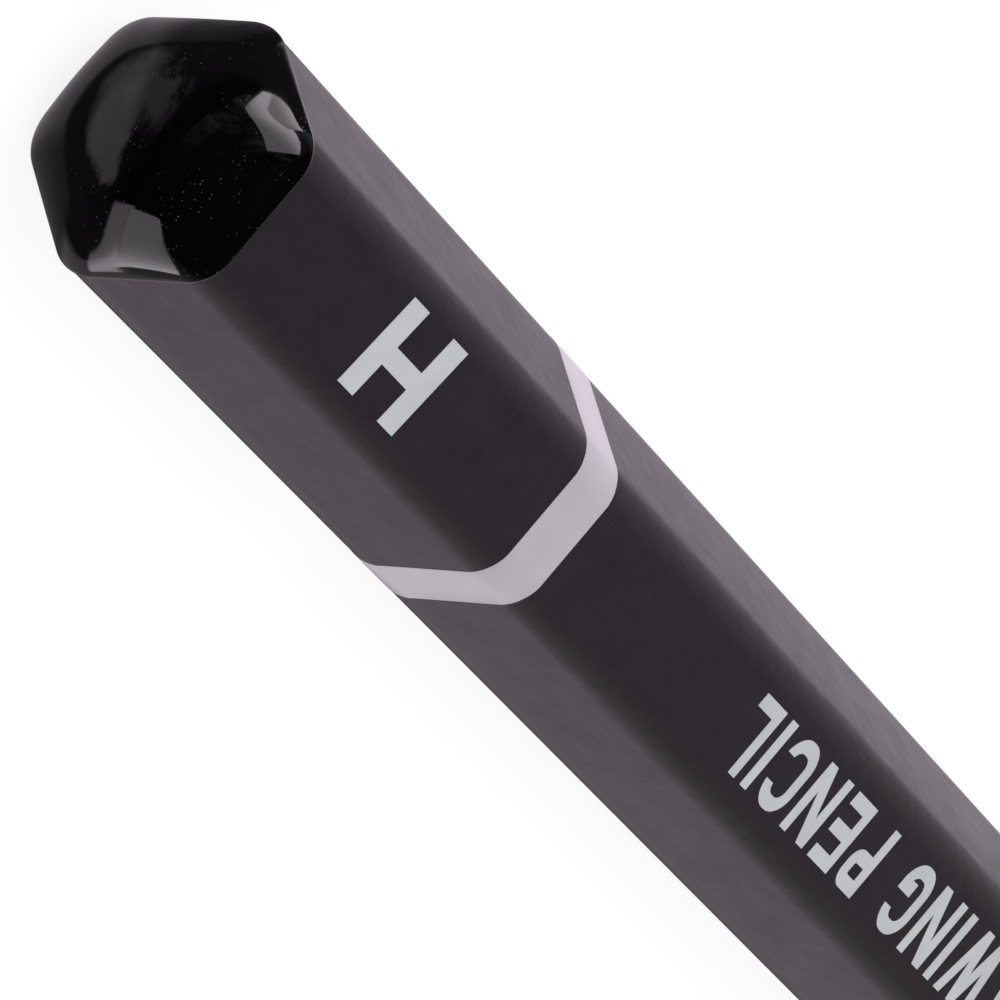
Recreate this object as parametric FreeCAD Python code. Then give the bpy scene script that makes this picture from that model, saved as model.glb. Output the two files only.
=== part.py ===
"""A hexagonal graphite pencil with a dipped end, a silver ring and two foil marks.

The pencil lies along X on one of its six flats. +X runs to the dipped end, -X to the point,
and +Z is out of the printed flat. The origin is under the middle of the pencil, on the surface
that it lies on. It is made as a real one is: a graphite lead glued between two grooved wooden
slats, planed to a hexagon, primed, lacquered, stamped, dipped at one end and sharpened at the other.
"""
import FreeCAD, Part
import math
import os

from FreeCAD import Vector

# Driving dimensions, in millimetres and degrees

overall_length = 175.0
across_flats = 7.1  # over the lacquer
corner_radius = 1.25  # of the lacquered hexagon

colour_thickness = 0.08
undercoat_thickness = 0.05

lead_diameter = 2.1
glue_thickness = 0.05  # round the lead and between the slats

point_half_angle = 10.5
point_radius = 0.15

cap_crown = 2.2  # how far the dipped end bulges past the cut end of the wood
cap_lap = 0.1  # how far the dip runs back over the lacquer
cap_lip = 1.25  # how the dome leaves its rim: 1 is a crease, 2 is a full quarter round
cap_fullness = 2.6  # how long the dome stays wide: 2 is an ellipse, more is squarer
cap_rounding = 3.0  # how soon its six facets melt together: a higher power is sooner

ring_width = 2.2
ring_thickness = 0.03
ring_to_cap = 18.2  # from the ring to the edge of the dip

foil_thickness = 0.03
foil_depth = 0.02  # how much of the foil is pressed into the lacquer

grade_width = 3.5  # along the pencil
grade_height = 2.9
grade_stem = 0.95
grade_bar = 0.58
grade_bar_rise = 0.06  # of the crossbar above the letter's middle
grade_lean = 5.0  # the stamp's lean towards the dipped end, in degrees
grade_to_ring = 7.7

name_words = "DRAWING PENCIL"
name_height = 2.35
name_stroke = 0.45
name_narrow = 1.5  # the width of E, L, P and R
name_wide = 1.78  # the width of the rounder letters
name_gap = 0.45  # between two letters
name_space = 1.7  # between two words
name_to_ring = 12.5

# The letters' own proportions, as shares of their height or width

a_bar_share = 0.24  # height of the crossbar of A
w_width_share = 1.45  # W against the other wide letters
w_foot_share = 0.29  # where the first foot of W stands
p_bowl_share = 0.44  # where the bowl of P and R starts
g_lip_share = 0.46  # where the mouth of G opens
c_lip_share = 0.30  # where the mouth of C opens
mouth_top_share = 0.70  # where both mouths close
round_share = 0.45  # corner radius of C and G
bowl_share = 0.8  # corner radius of a bowl

# Places that follow from them

flat_distance = across_flats / 2
wood_flats = across_flats - 2 * (colour_thickness + undercoat_thickness)
wood_radius = corner_radius - colour_thickness - undercoat_thickness
primed_flats = across_flats - 2 * colour_thickness
primed_radius = corner_radius - colour_thickness
lead_radius = lead_diameter / 2
groove_radius = lead_radius + glue_thickness

point_x = -overall_length / 2
crown_x = overall_length / 2
wood_end_x = crown_x - cap_crown
dip_edge_x = wood_end_x - cap_lap
ring_front_x = dip_edge_x - ring_to_cap
ring_back_x = ring_front_x - ring_width

foil_base_z = across_flats - foil_depth

# The dipped end goes from the pencil's own section to a nearly round one at its crown

rim_roundness = corner_radius / flat_distance
crown_roundness = 0.95
cap_sections = 9
cap_last_turn = 84


def hexagon_wire(flats, radius, x):
    """The pencil's section at x: rounded corners, flats facing up and down, centred on its axis."""
    edges = []
    inset = radius / math.cos(math.radians(30))
    corner = flats / math.sqrt(3)
    for k in range(6):
        middle = math.radians(60 * k)
        centre_y = (corner - inset) * math.cos(middle)
        centre_z = (corner - inset) * math.sin(middle)
        arc = []
        for turn in (-30, 0, 30):
            angle = middle + math.radians(turn)
            y = centre_y + radius * math.cos(angle)
            z = centre_z + radius * math.sin(angle)
            arc.append(Vector(x, y, z + flat_distance))
        if edges:
            edges.append(Part.LineSegment(last, arc[0]).toShape())
        else:
            first = arc[0]
        edges.append(Part.Arc(*arc).toShape())
        last = arc[2]
    edges.append(Part.LineSegment(last, first).toShape())
    return Part.Wire(edges)


def hexagon_bar(flats, radius, start, end):
    """A bar with that section along X."""
    face = Part.Face(hexagon_wire(flats, radius, start))
    return face.extrude(Vector(end - start, 0, 0))


def rod(radius, start, end):
    """A round bar on the pencil's axis."""
    return Part.makeCylinder(radius, end - start, Vector(start, 0, flat_distance), Vector(1, 0, 0))


def sharpener():
    """The space left by the sharpener: a cone with a rounded tip, then a bar wider than the pencil."""
    slope = math.radians(point_half_angle)
    wide = across_flats
    centre = point_x + point_radius
    touch_x = centre - point_radius * math.sin(slope)
    touch_r = point_radius * math.cos(slope)
    cone_end_x = touch_x + (wide - touch_r) / math.tan(slope)
    middle = math.radians(180 + 90 + point_half_angle) / 2
    tip = Vector(point_x, 0, flat_distance)
    bulge = Vector(
        centre + point_radius * math.cos(middle), 0, flat_distance + point_radius * math.sin(middle)
    )
    touch = Vector(touch_x, 0, flat_distance + touch_r)
    cone_end = Vector(cone_end_x, 0, flat_distance + wide)
    far_edge = Vector(crown_x, 0, flat_distance + wide)
    far_centre = Vector(crown_x, 0, flat_distance)
    outline = Part.Wire(
        [
            Part.Arc(tip, bulge, touch).toShape(),
            Part.LineSegment(touch, cone_end).toShape(),
            Part.LineSegment(cone_end, far_edge).toShape(),
            Part.LineSegment(far_edge, far_centre).toShape(),
            Part.LineSegment(far_centre, tip).toShape(),
        ]
    )
    return Part.Face(outline).revolve(Vector(0, 0, flat_distance), Vector(1, 0, 0), 360)


# The core: the lead, the glue and the two slats


def lead():
    return rod(lead_radius, point_x, wood_end_x).common(sharpener())


def slat(side):
    """The wooden half above (side 1) or below (side -1) the glue line, with its round groove."""
    height = across_flats
    low = flat_distance + (glue_thickness / 2 if side > 0 else -glue_thickness / 2 - height)
    half = Part.makeBox(
        overall_length, 2 * across_flats, height, Vector(point_x, -across_flats, low)
    )
    wood = hexagon_bar(wood_flats, wood_radius, point_x, wood_end_x).common(half)
    return wood.cut(rod(groove_radius, point_x, wood_end_x)).common(sharpener())


def glue_line():
    """The film between the slats and round the lead."""
    film = Part.makeBox(
        overall_length,
        2 * across_flats,
        glue_thickness,
        Vector(point_x, -across_flats, flat_distance - glue_thickness / 2),
    )
    sheet = hexagon_bar(wood_flats, wood_radius, point_x, wood_end_x).common(film)
    sleeve = rod(groove_radius, point_x, wood_end_x)
    glue = sheet.fuse(sleeve).cut(rod(lead_radius, point_x, wood_end_x))
    return glue.common(sharpener()).removeSplitter()


# The skins: primer, lacquer, ring and dipped end


def undercoat():
    outside = hexagon_bar(primed_flats, primed_radius, point_x, wood_end_x)
    inside = hexagon_bar(wood_flats, wood_radius, point_x, wood_end_x)
    return outside.cut(inside).common(sharpener())


def ring_band():
    """The silver ring, let into the lacquer so that its outside is flush."""
    outside = hexagon_bar(across_flats, corner_radius, ring_back_x, ring_front_x)
    inside = hexagon_bar(
        across_flats - 2 * ring_thickness, corner_radius - ring_thickness, ring_back_x, ring_front_x
    )
    return outside.cut(inside)


def colour_coat(marks):
    """The black lacquer, with a groove for the ring and a pocket for each mark."""
    outside = hexagon_bar(across_flats, corner_radius, point_x, dip_edge_x)
    inside = hexagon_bar(primed_flats, primed_radius, point_x, dip_edge_x)
    coat = outside.cut(inside).common(sharpener()).cut(ring_band())
    for mark in marks:
        coat = coat.cut(mark)
    return coat


def end_cap():
    """The dip: a pillow-shaped end over the cut wood, and a thin collar that laps the primed wood."""
    sections = []
    for k in range(cap_sections + 1):
        turn = math.radians(cap_last_turn) * k / cap_sections
        rise = math.sin(turn) ** (2 / cap_lip)
        share = math.cos(turn) ** (2 / cap_fullness)
        melted = 1 - share**cap_rounding
        flats = across_flats * share
        radius = flats / 2 * (rim_roundness + (crown_roundness - rim_roundness) * melted)
        x = wood_end_x + cap_crown * rise
        sections.append(hexagon_wire(flats, radius, x))
    limits = hexagon_bar(across_flats, corner_radius, wood_end_x, crown_x)
    dome = Part.makeLoft(sections, True).common(limits)
    collar = hexagon_bar(across_flats, corner_radius, dip_edge_x, wood_end_x)
    collar = collar.cut(hexagon_bar(primed_flats, primed_radius, dip_edge_x, wood_end_x))
    return dome.fuse(collar)


# The foil marks. Their letters read towards the dipped end, with their tops towards +Y.


def bar(start, end, width, cell):
    """A straight stroke between two points of a letter, trimmed to the letter's cell."""
    run = Vector(end[0] - start[0], end[1] - start[1], 0)
    along = Vector(run).normalize()
    across = Vector(-along.y, along.x, 0) * (width / 2)
    reach = along * width
    base = Vector(start[0], start[1], 0) - reach
    top = Vector(end[0], end[1], 0) + reach
    outline = Part.makePolygon(
        [base - across, top - across, top + across, base + across, base - across]
    )
    stroke = Part.Face(outline).extrude(Vector(0, 0, foil_thickness))
    return stroke.common(Part.makeBox(cell[0], cell[1], foil_thickness))


def block(x, y, width, height):
    return Part.makeBox(width, height, foil_thickness, Vector(x, y, 0))


def round_frame(x, y, width, height, radius, stroke):
    """A rounded rectangle's outline, from which the letters with bowls are cut."""
    solids = []
    for inset in (0, stroke):
        solid = block(x + inset, y + inset, width - 2 * inset, height - 2 * inset)
        upright = [e for e in solid.Edges if abs(e.tangentAt(e.FirstParameter).z) > 0.9]
        solids.append(solid.makeFillet(radius - inset, upright))
    return solids[0].cut(solids[1])


def bowl(y, width, height, stroke):
    """The closed right-hand half of a D or a P, with its two arms back to the stem."""
    radius = min(height / 2, width) * bowl_share
    frame = round_frame(-width, y, 2 * width, height, radius, stroke)
    return frame.common(block(0, y, width, height))


def letter(sign):
    """One capital as a flat prism standing on the line y = 0, and its width."""
    height = name_height
    stroke = name_stroke
    narrow = name_narrow
    wide = name_wide
    half = stroke / 2
    stem = block(0, 0, stroke, height)
    middle = height / 2 - half
    if sign == "I":
        return stem, stroke
    if sign == "L":
        return stem.fuse(block(0, 0, narrow, stroke)), narrow
    if sign == "E":
        arms = [block(0, y, narrow, stroke) for y in (0, middle, height - stroke)]
        return stem.fuse(arms), narrow
    if sign == "N":
        cell = (wide, height)
        slant = bar((half, height), (wide - half, 0), stroke, cell)
        return stem.fuse([slant, block(wide - stroke, 0, stroke, height)]), wide
    if sign == "A":
        cell = (wide, height)
        legs = bar((half, 0), (wide / 2, height), stroke, cell)
        legs = legs.fuse(bar((wide - half, 0), (wide / 2, height), stroke, cell))
        return legs.fuse(block(stroke, a_bar_share * height, wide - 2 * stroke, stroke)), wide
    if sign == "W":
        width = w_width_share * wide
        cell = (width, height)
        foot = (w_foot_share * width, (1 - w_foot_share) * width)
        tops = (half, width / 2, width - half)
        strokes = [
            bar((tops[0], height), (foot[0], 0), stroke, cell),
            bar((foot[0], 0), (tops[1], height), stroke, cell),
            bar((tops[1], height), (foot[1], 0), stroke, cell),
            bar((foot[1], 0), (tops[2], height), stroke, cell),
        ]
        return strokes[0].fuse(strokes[1:]), width
    if sign == "D":
        return stem.fuse(bowl(0, wide, height, stroke)), wide
    if sign in "PR":
        low = p_bowl_share * height
        shape = stem.fuse(bowl(low, narrow, height - low, stroke))
        if sign == "R":
            leg = bar((narrow / 2, low + half), (narrow - half, 0), stroke, (narrow, height))
            shape = shape.fuse(leg)
        return shape, narrow
    shape = round_frame(0, 0, wide, height, round_share * wide, stroke)
    mouth_low = (g_lip_share if sign == "G" else c_lip_share) * height
    mouth_high = mouth_top_share * height
    shape = shape.cut(block(wide / 2, mouth_low, wide, mouth_high - mouth_low))
    if sign == "G":
        shape = shape.fuse(block(wide / 2, mouth_low - stroke, wide / 2, stroke))
    return shape, wide


def grade_mark():
    """The hardness grade, H: two broad, slightly leaning stems and a thinner bar."""
    lean = grade_height * math.tan(math.radians(grade_lean))
    half = grade_stem / 2
    feet = (half, grade_width - half)
    cell = (grade_width + lean, grade_height)
    stems = [bar((x, 0), (x + lean, grade_height), grade_stem, cell) for x in feet]
    bar_y = (grade_height - grade_bar) / 2 + grade_bar_rise
    crossbar = block(half + lean / 2, bar_y, grade_width - grade_stem, grade_bar)
    mark = stems[0].fuse([stems[1], crossbar]).removeSplitter()
    start = ring_front_x + grade_to_ring - lean / 2
    mark.translate(Vector(start, -grade_height / 2, foil_base_z))
    return mark


def name_print():
    """The plain words, spaced letter by letter, ending a set distance before the ring."""
    letters = []
    pen = 0.0
    for sign in name_words:
        if sign == " ":
            pen += name_space - name_gap
            continue
        shape, width = letter(sign)
        shape = shape.removeSplitter()
        shape.translate(Vector(pen, 0, 0))
        letters.append(shape)
        pen += width + name_gap
    words = Part.makeCompound(letters)
    end = pen - name_gap
    words.translate(Vector(ring_back_x - name_to_ring - end, -name_height / 2, foil_base_z))
    return words


def save(node, shape):
    shape.exportStep(os.path.join("parts", node + ".step"))
    box = shape.BoundBox
    print(
        f"{node:12s} {len(shape.Solids):2d} solid(s)  valid {shape.isValid()}  volume {shape.Volume:9.4f}"
        f"  x {box.XMin:.3f} {box.XMax:.3f}  y {box.YMin:.3f} {box.YMax:.3f}"
        f"  z {box.ZMin:.3f} {box.ZMax:.3f}"
    )


os.makedirs("parts", exist_ok=True)
grade = grade_mark()
name = name_print()
save("lead", lead())
save("glue_line", glue_line())
save("upper_slat", slat(1))
save("lower_slat", slat(-1))
save("undercoat", undercoat())
save("colour_coat", colour_coat([grade, name]))
save("ring_band", ring_band())
save("end_cap", end_cap())
save("grade_mark", grade)
save("name_print", name)
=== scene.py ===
"""The looks of a sharpened hexagonal graphite pencil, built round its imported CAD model.

The pencil lies along X, point towards -X and dipped end towards +X, with its printed flat up.
It is put together here in the order in which a pencil is made: lead, slats, glue, primer,
lacquer, ring, foil marks and dip. The floor, sky, soft boxes and camera come last.
"""

import math

import bmesh
import bpy
from mathutils import Matrix, Vector, noise


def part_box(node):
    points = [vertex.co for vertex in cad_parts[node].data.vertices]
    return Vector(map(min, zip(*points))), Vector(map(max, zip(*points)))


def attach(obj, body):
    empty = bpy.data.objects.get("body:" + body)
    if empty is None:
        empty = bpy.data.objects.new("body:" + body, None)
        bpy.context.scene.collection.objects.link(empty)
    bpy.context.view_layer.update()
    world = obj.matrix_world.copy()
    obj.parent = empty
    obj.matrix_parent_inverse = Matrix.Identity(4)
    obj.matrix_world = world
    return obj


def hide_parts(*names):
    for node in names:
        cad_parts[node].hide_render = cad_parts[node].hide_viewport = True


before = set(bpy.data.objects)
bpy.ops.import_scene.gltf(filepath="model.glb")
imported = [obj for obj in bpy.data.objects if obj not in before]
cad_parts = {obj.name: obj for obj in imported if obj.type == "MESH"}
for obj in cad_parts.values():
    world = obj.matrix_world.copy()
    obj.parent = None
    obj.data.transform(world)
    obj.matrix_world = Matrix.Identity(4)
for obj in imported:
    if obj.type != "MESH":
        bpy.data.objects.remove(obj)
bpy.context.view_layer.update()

# ---------------------------------------------------------------------------------------------
# The lead: a fired rod of graphite and clay, ground to a blunt point by the sharpener.
# It runs the whole length of the wood, glued in a round groove.

mm = 0.001
point = math.radians(10.5)
point_radius = 0.15 * mm
lead_radius = 1.05 * mm

lead_low, lead_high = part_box("lead")
axis = (lead_low.z + lead_high.z) / 2
wood_end = lead_high.x
ball_centre = lead_low.x + point_radius
cone_apex = ball_centre - point_radius / math.sin(point)


def cone_x(radius):
    """Where the sharpener's cone has this radius."""
    return cone_apex + radius / math.tan(point)


def finished(name, bm, material, *nodes, slot):
    """Turns a bmesh into a smooth-shaded piece of the pencil that stands for CAD nodes."""
    bmesh.ops.remove_doubles(bm, verts=bm.verts, dist=1e-8)
    bmesh.ops.recalc_face_normals(bm, faces=bm.faces)
    mesh = bpy.data.meshes.new(name)
    bm.to_mesh(mesh)
    bm.free()
    piece = bpy.data.objects.new(name, mesh)
    bpy.context.scene.collection.objects.link(piece)
    mesh.materials.append(material)
    mesh.shade_smooth()
    mesh.set_sharp_from_angle(angle=math.radians(28))
    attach(piece, "root")
    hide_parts(*nodes)
    return piece


class Value:
    """A shader socket that adds, subtracts and multiplies like a number."""

    def __init__(self, tree, socket):
        self.tree = tree
        self.socket = socket

    def node(self, kind, settings, inputs, output=0):
        """Adds a node of this kind: first its settings, then its sockets' values or links."""
        made = self.tree.nodes.new(kind)
        for key, setting in settings.items():
            if key == "stops":
                ramp = made.color_ramp
                while len(ramp.elements) < len(setting):
                    ramp.elements.new(0.5)
                for stop, (position, shade) in zip(ramp.elements, setting):
                    stop.position = position
                    stop.color = (*shade, 1)
            else:
                setattr(made, key, setting)
        for key, value in inputs.items():
            if isinstance(value, Value):
                self.tree.links.new(value.socket, made.inputs[key])
            else:
                made.inputs[key].default_value = value
        return None if output is None else Value(self.tree, made.outputs[output])

    def math(self, operation, first, second):
        return self.node("ShaderNodeMath", {"operation": operation}, {0: first, 1: second})

    def __add__(self, other):
        return self.math("ADD", self, other)

    def __sub__(self, other):
        return self.math("SUBTRACT", self, other)

    def __rsub__(self, other):
        return self.math("SUBTRACT", other, self)

    def __mul__(self, other):
        return self.math("MULTIPLY", self, other)

    __radd__ = __add__
    __rmul__ = __mul__

    def above(self, low, high):
        """0 below low, 1 above high, and smooth between them."""
        ends = {"Value": self, "From Min": low, "From Max": high}
        return self.node("ShaderNodeMapRange", {"interpolation_type": "SMOOTHSTEP"}, ends)

    def stretched(self, x, y, z):
        """A place in metres turned into pattern units, so many to the millimetre each way."""
        scale = (x / mm, y / mm, z / mm)
        return self.node("ShaderNodeVectorMath", {"operation": "MULTIPLY"}, {0: self, 1: scale})

    def grain(self, x, y, z, detail=2.0, roughness=0.5):
        """Noise about 0.5, with so many cells to the millimetre each way."""
        inputs = {"Vector": self.stretched(x, y, z), "Scale": 1.0, "Detail": detail}
        inputs["Roughness"] = roughness
        return self.node("ShaderNodeTexNoise", {}, inputs)

    def shades(self, stops):
        return self.node("ShaderNodeValToRGB", {"stops": stops}, {"Fac": self})

    def tinted(self, plain, shade):
        """plain where this mask is 0 and shade where it is 1."""
        colours = {"Factor": self, 6: plain, 7: shade}
        return self.node("ShaderNodeMix", {"data_type": "RGBA"}, colours, output=2)

    def bump(self, depth):
        """A normal for a height that swings from 0 to 1 over this depth, in millimetres."""
        inputs = {"Height": self, "Strength": 1.0, "Distance": depth * mm}
        return self.node("ShaderNodeBump", {}, inputs)


def surface(name, **plain):
    """A material, with its even values set on its shader, and the place being shaded."""
    material = bpy.data.materials.new(name)
    material.use_nodes = True
    tree = material.node_tree
    shader = tree.nodes["Principled BSDF"]
    for key, value in plain.items():
        shader.inputs[key.replace("_", " ")].default_value = value
    place = Value(tree, tree.nodes.new("ShaderNodeTexCoord").outputs["Object"])
    return material, shader, place


def feed(shader, **links):
    for key, value in links.items():
        value.tree.links.new(value.socket, shader.inputs[key.replace("_", " ")])


graphite, shader, place = surface("graphite", Metallic=0.35)
turning = place.grain(16, 0.6, 0.6, detail=3.0)
smear = place.grain(1.2, 2.5, 2.5, detail=4.0, roughness=0.6)
feed(
    shader,
    Base_Color=smear.shades([(0.25, (0.035, 0.035, 0.038)), (0.75, (0.085, 0.085, 0.092))]),
    Roughness=0.30 + 0.22 * smear,
    Normal=(0.7 * turning + 0.3 * smear).bump(0.010),
)

bm = bmesh.new()
rod_profile = []
for k in range(9):
    turn = math.pi - (math.pi / 2 - point) * k / 8
    rod_profile.append((ball_centre + point_radius * math.cos(turn), point_radius * math.sin(turn)))
for share in (0.3, 0.65, 1.0):
    radius = lead_radius * share
    rod_profile.append((cone_x(radius), radius))
rod_profile += [(wood_end, lead_radius), (wood_end, 0)]
corners = [bm.verts.new((x, 0, axis + r)) for x, r in rod_profile]
edges = [bm.edges.new(pair) for pair in zip(corners, corners[1:])]
centre_line = {"cent": (0, 0, axis), "axis": (1, 0, 0)}
bmesh.ops.spin(
    bm, geom=corners + edges, angle=math.tau, steps=120, use_merge=True, **centre_line
)
finished("graphite_lead", bm, graphite, "lead", slot="graphite")

# ---------------------------------------------------------------------------------------------
# The two slats: halves of straight-grained wood, each with half of the lead's groove.
# They are glued together, planed to a hexagon, and cut to a cone by the sharpener.

coat_low, coat_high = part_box("colour_coat")
across_flats = coat_high.z - coat_low.z
corner_radius = 1.25 * mm
colour_thickness = 0.08 * mm
primer_thickness = 0.05 * mm
glue_thickness = 0.05 * mm
wood_flats = across_flats - 2 * (colour_thickness + primer_thickness)
groove_radius = lead_radius + glue_thickness


def section(bm, x, flats):
    """The edges of the pencil's rounded hexagon at x, scaled to this width across flats."""
    unit = across_flats / math.sqrt(3)
    made = bmesh.ops.create_circle(bm, segments=6, radius=unit)
    ring = made["verts"]
    side = corner_radius * math.tan(math.radians(30))
    made = bmesh.ops.bevel(
        bm, geom=ring, offset=side, segments=16, profile=0.5, affect="VERTICES", material=-1
    )
    edges = list({e for v in made["verts"] for e in v.link_edges})
    longest = max(e.calc_length() for e in edges)
    flats_edges = [e for e in edges if e.calc_length() > longest * 0.9]
    bmesh.ops.subdivide_edges(bm, edges=flats_edges, cuts=23)
    edges = [e for e in bm.edges if not e.link_faces]
    ring = list({v for e in edges for v in e.verts})
    bmesh.ops.rotate(bm, verts=ring, matrix=Matrix.Rotation(math.pi / 2, 3, "Y"))
    scale = flats / across_flats
    bmesh.ops.scale(bm, verts=ring, vec=(1, scale, scale))
    bmesh.ops.translate(bm, verts=ring, vec=(x, 0, axis))
    return edges


def pulled(bm, edges, move):
    """Extrudes a ring of edges and puts each new vertex where move says."""
    made = bmesh.ops.extrude_edge_only(bm, edges=edges)["geom"]
    for v in made:
        if isinstance(v, bmesh.types.BMVert):
            v.co = move(v.co.copy())
    return [e for e in made if isinstance(e, bmesh.types.BMEdge)]


def radius_of(co):
    return math.hypot(co.y, co.z - axis)


def scaled(co, factor):
    return Vector((co.x, co.y * factor, axis + (co.z - axis) * factor))


def onto_cone(co):
    """The same place in the section, slid along the pencil to the sharpened cone."""
    return Vector((cone_x(radius_of(co)), co.y, co.z))


def cored_wood(flats, hole):
    """The planed hexagon with its bored middle, sharpened, as a closed shell."""
    bm = bmesh.new()
    start = section(bm, wood_end, flats)
    ring = pulled(bm, start, onto_cone)
    steps = 14
    for k in range(1, steps + 1):

        def inward(co):
            radius = radius_of(co)
            return onto_cone(scaled(co, 1 + (hole / radius - 1) / (steps + 1 - k)))

        ring = pulled(bm, ring, inward)
    ring = pulled(bm, ring, lambda co: Vector((wood_end, co.y, co.z)))
    bmesh.ops.bridge_loops(bm, edges=start + ring)
    return bm


def kept_part(bm, height, side):
    """Cuts the shell level at a height, keeps the part above (1) or below (-1), and closes it."""
    made = bmesh.ops.bisect_plane(
        bm,
        geom=bm.verts[:] + bm.edges[:] + bm.faces[:],
        plane_co=(0, 0, height),
        plane_no=(0, 0, side),
        clear_inner=True,
    )
    cut = [e for e in made["geom_cut"] if isinstance(e, bmesh.types.BMEdge)]
    bmesh.ops.holes_fill(bm, edges=cut, sides=0)


def wood(name, shift):
    """Pale straight-grained wood. The shift gives each slat its own stretch of grain."""
    material, shader, place = surface(name, Specular_IOR_Level=0.3)
    there = place.node("ShaderNodeVectorMath", {"operation": "ADD"}, {0: place, 1: shift})
    bend = there.grain(0.05, 0.25, 0.25)
    board = there.node("ShaderNodeVectorMath", {"operation": "SCALE"}, {0: there, "Scale": 1000})
    warped = board.node(
        "ShaderNodeVectorMath", {"operation": "MULTIPLY_ADD"}, {0: board, 1: (0.04, 1, 1), 2: bend}
    )
    bands = warped.node(
        "ShaderNodeTexWave",
        {"bands_direction": "Z", "wave_profile": "SAW"},
        {"Vector": warped, "Scale": 0.34, "Distortion": 3.0, "Detail": 3.0, "Detail Scale": 1.4},
    )
    fibres = there.grain(0.35, 9, 9, detail=3.0, roughness=0.65)
    pores = there.grain(0.8, 17, 17, detail=1.0).above(0.62, 0.72)
    cuts = there.grain(9, 0.5, 0.5, detail=2.0)
    tone = 0.45 * bands + 0.55 * fibres
    plain = tone.shades(
        [(0.15, (0.60, 0.39, 0.215)), (0.5, (0.47, 0.285, 0.145)), (0.9, (0.33, 0.18, 0.085))]
    )
    feed(
        shader,
        Base_Color=(0.6 * pores).tinted(plain, (0.19, 0.095, 0.04, 1)),
        Roughness=0.55 + 0.2 * fibres,
        Normal=(0.5 * fibres + 0.25 * cuts - 0.5 * pores).bump(0.030),
    )
    return material


grain_shifts = {"upper": (0.011, 0.003, 0.002), "lower": (0.043, 0.007, 0.019)}
for half, side in (("upper", 1), ("lower", -1)):
    bm = cored_wood(wood_flats, groove_radius)
    kept_part(bm, axis + side * glue_thickness / 2, side)
    material = wood(half + "_wood", grain_shifts[half])
    finished(half + "_wood", bm, material, half + "_slat", slot="wood")

# ---------------------------------------------------------------------------------------------
# The glue: a hair-thin film between the slats and round the lead. On the sharpened cone it
# shows as a fine line down each side and a narrow ring round the lead.

dried_glue, shader, place = surface("dried_glue", Specular_IOR_Level=0.4)
bead = place.grain(1.5, 3, 3, detail=3.0)
feed(
    shader,
    Base_Color=bead.shades([(0.3, (0.30, 0.185, 0.09)), (0.7, (0.42, 0.28, 0.15))]),
    Roughness=0.4 + 0.25 * bead,
    Normal=bead.bump(0.008),
)

bm = cored_wood(wood_flats, groove_radius)
kept_part(bm, axis - glue_thickness / 2, 1)
kept_part(bm, axis + glue_thickness / 2, -1)
bore = bmesh.ops.create_circle(bm, segments=160, radius=groove_radius)["verts"]
start = list({e for v in bore for e in v.link_edges})
bmesh.ops.rotate(bm, verts=bore, matrix=Matrix.Rotation(math.pi / 2, 3, "Y"))
bmesh.ops.translate(bm, verts=bore, vec=(wood_end, 0, axis))
ring = pulled(bm, start, onto_cone)
ring = pulled(bm, ring, lambda co: onto_cone(scaled(co, lead_radius / groove_radius)))
ring = pulled(bm, ring, lambda co: Vector((wood_end, co.y, co.z)))
bmesh.ops.bridge_loops(bm, edges=start + ring)
finished("glue_film", bm, dried_glue, "glue_line", slot="glue")

# ---------------------------------------------------------------------------------------------
# The primer: a thin grey coat that fills the wood's pores under the lacquer. The sharpener
# bares it as a fine grey line along the scalloped edge of the paint.

primed_flats = across_flats - 2 * colour_thickness


def skin(outer_flats, inner_flats, back, ragged=0.0):
    """A coat round the barrel from its back edge to the cone, where its edge may be ragged."""

    def chipped(co):
        edge = onto_cone(co)
        grit = noise.fractal(edge * 2600, 0.8, 2.0, 4) + 0.35 * noise.noise(edge * 700)
        edge.x += ragged * max(0.0, 0.25 + grit)
        return edge

    bm = bmesh.new()
    start = section(bm, back, outer_flats)
    ring = pulled(bm, start, chipped)
    ring = pulled(bm, ring, lambda co: chipped(scaled(co, inner_flats / outer_flats)))
    ring = pulled(bm, ring, lambda co: Vector((back, co.y, co.z)))
    bmesh.ops.bridge_loops(bm, edges=start + ring)
    return bm


primer, shader, place = surface("primer", Specular_IOR_Level=0.35)
filler = place.grain(6, 6, 6, detail=3.0)
feed(
    shader,
    Base_Color=filler.shades([(0.3, (0.34, 0.33, 0.34)), (0.7, (0.46, 0.45, 0.46))]),
    Roughness=0.6 + 0.2 * filler,
    Normal=filler.bump(0.006),
)
bm = skin(primed_flats, wood_flats, wood_end)
finished("primer_skin", bm, primer, "undercoat", slot="primer")

# ---------------------------------------------------------------------------------------------
# The lacquer: several passes of satin black. It keeps a faint ripple along the barrel from
# the dies that it was drawn through, and an orange peel where it levelled.

dip_edge = coat_high.x

lacquer, shader, place = surface("black_lacquer", IOR=1.5)
peel = place.grain(1.6, 1.6, 1.6, detail=2.0)
ripple = place.grain(0.35, 2.2, 2.2, detail=3.0, roughness=0.6)
haze = place.grain(0.5, 1.1, 1.1, detail=4.0, roughness=0.6)
feed(
    shader,
    Base_Color=haze.shades([(0.3, (0.0186, 0.0118, 0.0196)), (0.7, (0.0233, 0.0158, 0.0244))]),
    Roughness=0.34 + 0.14 * haze,
    Normal=(0.5 * peel + 0.5 * ripple).bump(0.030),
)
bm = skin(across_flats, primed_flats, dip_edge, ragged=0.10 * mm)
finished("lacquer_coat", bm, lacquer, "colour_coat", slot="lacquer")

# ---------------------------------------------------------------------------------------------
# The ring: a band of pale silver lacquer, printed round the barrel over the black.
# Its edges are soft and it stands a hair proud.

ring_low, ring_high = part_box("ring_band")
ring_proud = 0.012 * mm
ring_sunk = 0.03 * mm
ring_edge = 0.01 * mm

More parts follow.
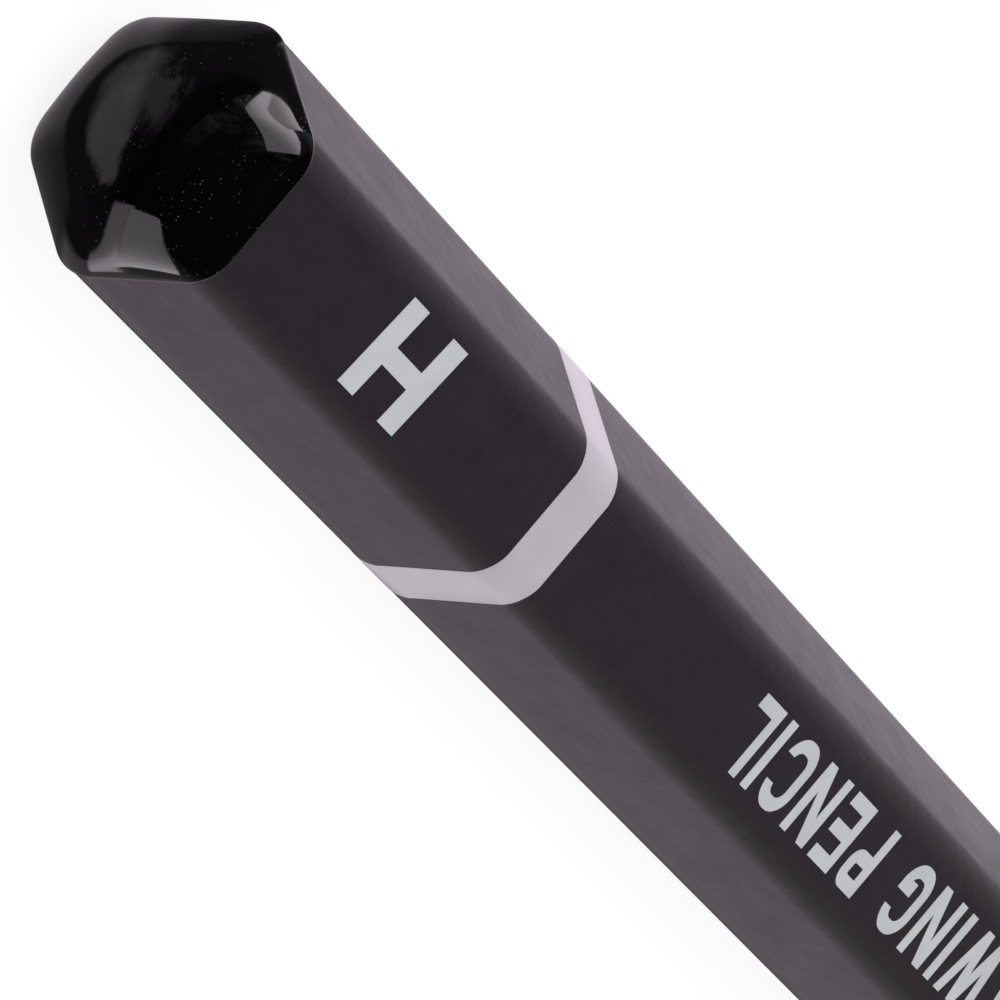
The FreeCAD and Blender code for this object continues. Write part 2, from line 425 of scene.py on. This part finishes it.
silver, shader, place = surface("silver_ring", IOR=1.45)
flake = place.grain(22, 22, 22, detail=1.0)
cloud = place.grain(0.8, 1.2, 1.2, detail=3.0)
feed(
    shader,
    Base_Color=cloud.shades([(0.3, (0.695, 0.660, 0.715)), (0.7, (0.735, 0.700, 0.755))]),
    Roughness=0.36 + 0.12 * flake,
    Metallic=0.33 + 0.1 * flake,
    Normal=(0.3 * flake + 0.7 * place.grain(0.3, 3, 3)).bump(0.006),
)
bm = bmesh.new()
sunk_flats = across_flats - 2 * ring_sunk
sunk = section(bm, ring_low.x, sunk_flats)
outward = (across_flats + 2 * ring_proud) / sunk_flats
back_rim = pulled(bm, sunk, lambda co: scaled(co, outward))
front_rim = pulled(bm, back_rim, lambda co: Vector((ring_high.x, co.y, co.z)))
inner = pulled(bm, front_rim, lambda co: scaled(co, 1 / outward))
bmesh.ops.bridge_loops(bm, edges=sunk + inner)
bmesh.ops.bevel(
    bm,
    geom=back_rim + front_rim,
    offset=ring_edge,
    segments=2,
    profile=0.5,
    affect="EDGES",
    material=-1,
)
finished("silver_band", bm, silver, "ring_band", slot="silver_ring")

# ---------------------------------------------------------------------------------------------
# The foil marks: pale silver foil, pressed on by a hot die. The CAD solids are the marks'
# real shape, so they only get their finish: nearly matt, with a fine tooth and a few pinholes.

foil, shader, place = surface("pale_foil", IOR=1.45)
tooth = place.grain(9, 9, 9, detail=3.0, roughness=0.6)
pinholes = place.grain(7, 7, 7, detail=1.0).above(0.72, 0.80)
rubbed = place.grain(0.9, 0.9, 0.9, detail=2.0)
plain = rubbed.shades([(0.3, (0.495, 0.510, 0.525)), (0.7, (0.540, 0.555, 0.570))])
feed(
    shader,
    Base_Color=(0.15 * pinholes).tinted(plain, (0.16, 0.155, 0.165, 1)),
    Roughness=0.42 + 0.18 * tooth,
    Normal=tooth.bump(0.004),
)
for node in ("grade_mark", "name_print"):
    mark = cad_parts[node]
    mark.data.materials.clear()
    mark.data.materials.append(foil)

# ---------------------------------------------------------------------------------------------
# The dip: the cut end is dunked in thick lacquer, which dries to a glossy pillow with six soft
# facets. A fine bead runs round where the dip stopped on the barrel.

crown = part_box("end_cap")[1].x
dip_lip = 1.25
dip_fullness = 2.6
dip_rounding = 3.0
bead_height = 0.03 * mm
bead_length = 0.10 * mm

dip, shader, place = surface("black_dip", IOR=1.45)
sway = place.grain(0.45, 0.45, 0.45, detail=1.0)
cells = {"Vector": place.stretched(6.5, 6.5, 6.5), "Scale": 1}
specks = place.node("ShaderNodeTexVoronoi", {"feature": "F1"}, cells)
drifts = place.grain(0.7, 0.7, 0.7, detail=3.0).above(0.42, 0.60)
dust = (1 - specks.above(0.07, 0.14)) * drifts
feed(
    shader,
    Base_Color=(0.4 * dust).tinted((0.0015, 0.0013, 0.0015, 1), (0.20, 0.20, 0.20, 1)),
    Roughness=0.05 + 0.4 * dust,
    Normal=(sway + 0.08 * dust).bump(0.012),
)


def hexagon_radius(co):
    """The rounded hexagon's own radius in the direction of this place."""
    flat = across_flats / 2
    turn = math.atan2(co.z - axis, co.y) % math.radians(60) - math.radians(30)
    arc_centre = (flat - corner_radius) / math.cos(math.radians(30))
    if abs(math.tan(turn)) * flat <= arc_centre / 2:
        return flat / math.cos(turn)
    off = math.radians(30) - abs(turn)
    across = arc_centre * math.sin(off)
    return arc_centre * math.cos(off) + math.sqrt(corner_radius**2 - across**2)


def pillow(x, share, roundness, swell=0.0):
    """A move onto the dip's section at x: the hexagon, shrunk to a share and partly rounded."""

    def move(co):
        full = hexagon_radius(co)
        radius = share * (full + (across_flats / 2 - full) * roundness) + swell
        placed = scaled(co, radius / radius_of(co))
        placed.x = x
        return placed

    return move


bm = bmesh.new()
ring = section(bm, dip_edge, across_flats - 2 * primer_thickness)
for k in range(6):
    turn = math.pi / 2 * k / 5
    x = dip_edge + bead_length * (1 - math.cos(turn))
    ring = pulled(bm, ring, pillow(x, 1, 0, bead_height * math.sin(turn)))
shoulder = dip_edge + bead_length
facet_steps = 30
for k in range(1, facet_steps + 1):
    turn = math.pi / 2 * k / facet_steps
    rise = math.sin(turn) ** (2 / dip_lip)
    share = max(math.cos(turn), 0) ** (2 / dip_fullness)
    x = shoulder + (crown - shoulder) * rise
    ring = pulled(bm, ring, pillow(x, share, 1 - share**dip_rounding, bead_height * share))
finished("dipped_end", bm, dip, "end_cap", slot="dip_lacquer")

# ---------------------------------------------------------------------------------------------
# The floor: a pale sheet that reads white to the camera and keeps the pencil's shadow. To mirrored
# rays it glows with a painted picture instead: painted reflections of cards at left (+Y) and right,
# a dim strip under the dip, a pool of light off to the left, a soft spot before the dip and smoky
# wisps, all painted glow on the floor and no lamps. Their places are in millimetres.

floor_reach = 6.0
floor_grey = 0.22
floor_white = 0.85
full_glow = 4.5
glow_tint = (1.0, 0.89, 1.0, 1)
# Levels of the painted reflections: glow that the floor shows only to mirrored rays.
mirrored_base = 0.06
left_reflection_glow = 0.62
right_reflection_glow = 1.00
contact_glow = 0.23
contact_halo = 0.07
near_pool_glow = 1.4
far_pool_glow = 2.6
spot_glow = 0.80
smoky_reflection_glow = 0.40


def coordinate(place, index):
    """A place's x (0), y (1) or z (2)."""
    return place.node("ShaderNodeSeparateXYZ", {}, {0: place}, output=index)


def between(value, low, from_low, to_high, high):
    """1 from from_low to to_high, 0 below low and above high, and smooth in between."""
    return value.above(low, from_low) * (1 - value.above(to_high, high))


def ray_kinds(tree):
    """1 for the rays that see the background, and 1 for those that see it mirrored."""
    ray = tree.nodes.new("ShaderNodeLightPath").outputs
    seen = Value(tree, ray["Is Camera Ray"]) + Value(tree, ray["Is Transmission Ray"])
    return seen, Value(tree, ray["Is Glossy Ray"])


bm = bmesh.new()
bmesh.ops.create_grid(bm, x_segments=1, y_segments=1, size=floor_reach)
mesh = bpy.data.meshes.new("floor")
bm.to_mesh(mesh)
bm.free()
floor = bpy.data.objects.new("floor", mesh)
scene = bpy.context.scene
scene.collection.objects.link(floor)

material = bpy.data.materials.new("pale_floor")
material.use_nodes = True
tree = material.node_tree
tree.nodes.clear()
seen, mirrored = ray_kinds(tree)
place = Value(tree, tree.nodes.new("ShaderNodeTexCoord").outputs["Object"])
x = coordinate(place, 0) * (1 / mm)
y = coordinate(place, 1) * (1 / mm)
wisps = place.grain(0.22, 0.22, 0.22, detail=3.0, roughness=0.6)

# Painted reflections: to mirrored rays the floor glows at left (+Y) and right, standing in for
# cards.
painted_left_reflection = left_reflection_glow * y.above(5.0, 8.0) * (1 - x.above(85.0, 86.5))
painted_right_reflection = right_reflection_glow * between(y, -40, -25, -3.0, -1.5) * (1 - x.above(76, 80))

# Painted reflection: a dim glowing strip on the floor under the dip, with a fainter halo, seen only
# mirrored.
contact = contact_glow * between(y, -4.2, -2.6, 1.4, 2.8)
contact = (contact + contact_halo * between(y, -11, -8, 5, 7)) * between(x, 78, 84, 87.1, 87.5)

# Painted reflection: a pool of light painted as glow on the floor off to the left, brighter far
# away.
from_near_edge = y - 3.5 * (105 - x)
from_front_edge = y - 1.1 * (x - 85.2)
far_away = y.above(40, 260) * (1 - x.above(85, 140))
pool = from_near_edge.above(3, 14) * from_front_edge.above(0, 4)
pool = pool * (near_pool_glow + far_pool_glow * far_away)

# Painted reflection: a soft glowing spot on the floor before the dip, its edge frayed by the wisps.
spot_along = (x - 0.55 * y - 91.0) * (1 / 2.6)
spot_across = (y - 3.0) * (1 / 6.5)
spot_off = spot_along * spot_along + spot_across * spot_across + 2.4 * (wisps - 0.5)
spot = spot_glow * (1 - spot_off.above(0.3, 1.3))

# Painted reflection: smoky wisps of glow on the floor before the dip, seen only mirrored.
painted_smoky_reflection = smoky_reflection_glow * wisps.above(0.44, 0.62)
painted_smoky_reflection = painted_smoky_reflection * between(x, 88.2, 90.5, 94, 102) * between(y, -10, -5, -1.5, 1.0)

# Painted reflection: a faint even glow behind the dip; with the rest it makes the floor's mirrored
# glow.
base = mirrored_base * (1 - x.above(90, 108))
mirror_glow = (base + painted_left_reflection + painted_right_reflection + contact + pool + spot + painted_smoky_reflection) * (1 / full_glow)

lit = seen.node("ShaderNodeBsdfDiffuse", {}, {"Color": (floor_grey, floor_grey, floor_grey, 1)})
shine = seen.node("ShaderNodeEmission", {}, {"Strength": seen * floor_white})
both = lit.node("ShaderNodeAddShader", {}, {0: lit, 1: shine})
dark = seen.node("ShaderNodeEmission", {}, {"Strength": 0.0})
bright = seen.node("ShaderNodeEmission", {}, {"Color": glow_tint, "Strength": full_glow})
image = both.node("ShaderNodeMixShader", {}, {0: mirror_glow, 1: dark, 2: bright})
# Mirrored rays see the painted glows in place of the lit white floor.
floor_look = both.node("ShaderNodeMixShader", {}, {0: mirrored, 1: both, 2: image})
floor_look.node("ShaderNodeOutputMaterial", {}, {"Surface": floor_look}, output=None)
mesh.materials.append(material)

# ---------------------------------------------------------------------------------------------
# The sky: white to the camera, and an even glow on the pencil from all round. Mirrored, it is
# nearly black, but for a pale haze low behind the pencil and some murk in front on the right.

sky_glow = 0.95
mirrored_sky = 0.004
haze_glow = 0.36
murk_glow = 0.30

world = bpy.data.worlds.new("studio")
scene.world = world
world.use_nodes = True
tree = world.node_tree
seen, mirrored = ray_kinds(tree)
heading = Value(tree, tree.nodes.new("ShaderNodeTexCoord").outputs["Generated"])
front = coordinate(heading, 0).above(-0.3, 0.3)
right = 1 - coordinate(heading, 1).above(-0.5, 0.0)
low = 1 - coordinate(heading, 2).above(0.0, 0.70)
murk = heading.grain(0.003, 0.003, 0.003, detail=3.0, roughness=0.6).above(0.45, 0.75)
mirrored_glow = mirrored_sky + haze_glow * (1 - front) * low + murk_glow * front * right * murk
glow = seen + (1 - seen - mirrored) * sky_glow + mirrored * mirrored_glow
sky = tree.nodes["Background"]
sky.inputs["Color"].default_value = (1, 1, 1, 1)
tree.links.new(glow.socket, sky.inputs["Strength"])

# ---------------------------------------------------------------------------------------------
# The soft boxes: three glowing panels that the camera doesn't see, brighter towards one end.
# The left one stands on the floor and runs away backwards. The right ones hang over the
# pencil's right side, the large one a slanted sheet and the small one a strip below it.

dip_place = Vector((dip_edge, 0, axis))
panel_tint = (1.0, 0.92, 1.0, 1)


def soft_box(name, centre, length_way, normal, length, width, dim, bright, skew=0.0):
    """A panel, placed from the dip, that shines along normal and is dim where it begins."""
    bm = bmesh.new()
    bmesh.ops.create_grid(bm, x_segments=1, y_segments=1, size=0.5)
    shape = Matrix(((length, width * skew, 0), (0, width, 0), (0, 0, 1))).to_4x4()
    bmesh.ops.transform(bm, matrix=shape, verts=bm.verts)
    mesh = bpy.data.meshes.new(name)
    bm.to_mesh(mesh)
    bm.free()
    material = bpy.data.materials.new(name)
    material.use_nodes = True
    tree = material.node_tree
    tree.nodes.clear()
    place = Value(tree, tree.nodes.new("ShaderNodeTexCoord").outputs["Object"])
    back = Value(tree, tree.nodes.new("ShaderNodeNewGeometry").outputs["Backfacing"])
    share = coordinate(place, 0).above(-length / 2, length / 2)
    levels = [
        place.node("ShaderNodeEmission", {}, {"Color": panel_tint, "Strength": level})
        for level in (dim, bright, 0.0)
    ]
    front = place.node("ShaderNodeMixShader", {}, {0: share * share, 1: levels[0], 2: levels[1]})
    panel = place.node("ShaderNodeMixShader", {}, {0: back, 1: front, 2: levels[2]})
    panel.node("ShaderNodeOutputMaterial", {}, {"Surface": panel}, output=None)
    mesh.materials.append(material)
    box = bpy.data.objects.new(name, mesh)
    box.location = dip_place + centre
    box.rotation_mode = "QUATERNION"
    across = normal.cross(length_way)
    box.rotation_quaternion = Matrix((length_way, across, normal)).transposed().to_quaternion()
    box.visible_camera = False
    scene.collection.objects.link(box)


def direction(heading, rise):
    """The unit vector at these angles from +X and from level, in radians."""
    level = math.cos(rise)
    return Vector((level * math.cos(heading), level * math.sin(heading), math.sin(rise)))


left_start = Vector((0.237, 0.283, 0))
left_end = Vector((-0.156, 1.043, 0))
left_height = 0.085
way = (left_end - left_start).normalized()
soft_box(
    "left_soft_box",
    centre=(left_start + left_end) / 2 + Vector((0, 0, left_height / 2 - axis)),
    length_way=way,
    normal=Vector((-way.y, way.x, 0)),
    length=(left_end - left_start).length,
    width=left_height,
    dim=1.8,
    bright=6.0,
)

right_distance = 0.35
outward = direction(math.radians(-76.0), math.radians(20.0))
sideways = Vector((outward.y, -outward.x, 0)).normalized()
upright = sideways.cross(outward)


def leaning(degrees):
    """The way along a right box that leans so far down from sideways."""
    lean = math.radians(degrees)
    return sideways * math.cos(lean) - upright * math.sin(lean)


soft_box(
    "right_soft_box",
    centre=(outward - 0.14 * sideways + 0.105 * upright) * right_distance,
    length_way=leaning(15),
    normal=-outward,
    length=0.192,
    width=0.28,
    dim=2.0,
    bright=6.0,
    skew=-0.566,
)
soft_box(
    "right_low_box",
    centre=(outward + 0.24 * sideways - 0.290 * upright) * (right_distance - 0.01),
    length_way=leaning(24),
    normal=-outward,
    length=0.145,
    width=0.056,
    dim=2.6,
    bright=5.0,
)

# ---------------------------------------------------------------------------------------------
# The camera: it stands beyond the dipped end, to the +Y side of it, and looks steeply down the
# pencil. It is rolled so that the pencil runs down across the picture.

aim = Vector((ring_high.x + 2.0 * mm, 0.55 * mm, coat_high.z))
camera_distance = 238.7 * mm
camera_side = math.radians(4.85)
camera_height = math.radians(33.0)
camera_roll = math.radians(127.6)

camera = bpy.data.cameras.new("camera")
camera.lens = 329.0
camera.sensor_width = 36.0
camera.clip_start = 0.01
camera.clip_end = 30.0
eye = bpy.data.objects.new("camera", camera)
scene.collection.objects.link(eye)
back = direction(camera_side, camera_height)
level = (-back).to_track_quat("-Z", "Y")
eye.rotation_mode = "QUATERNION"
eye.rotation_quaternion = level @ Matrix.Rotation(camera_roll, 3, "Z").to_quaternion()
eye.location = aim + back * camera_distance
scene.camera = eye

scene.view_settings.view_transform = "Standard"
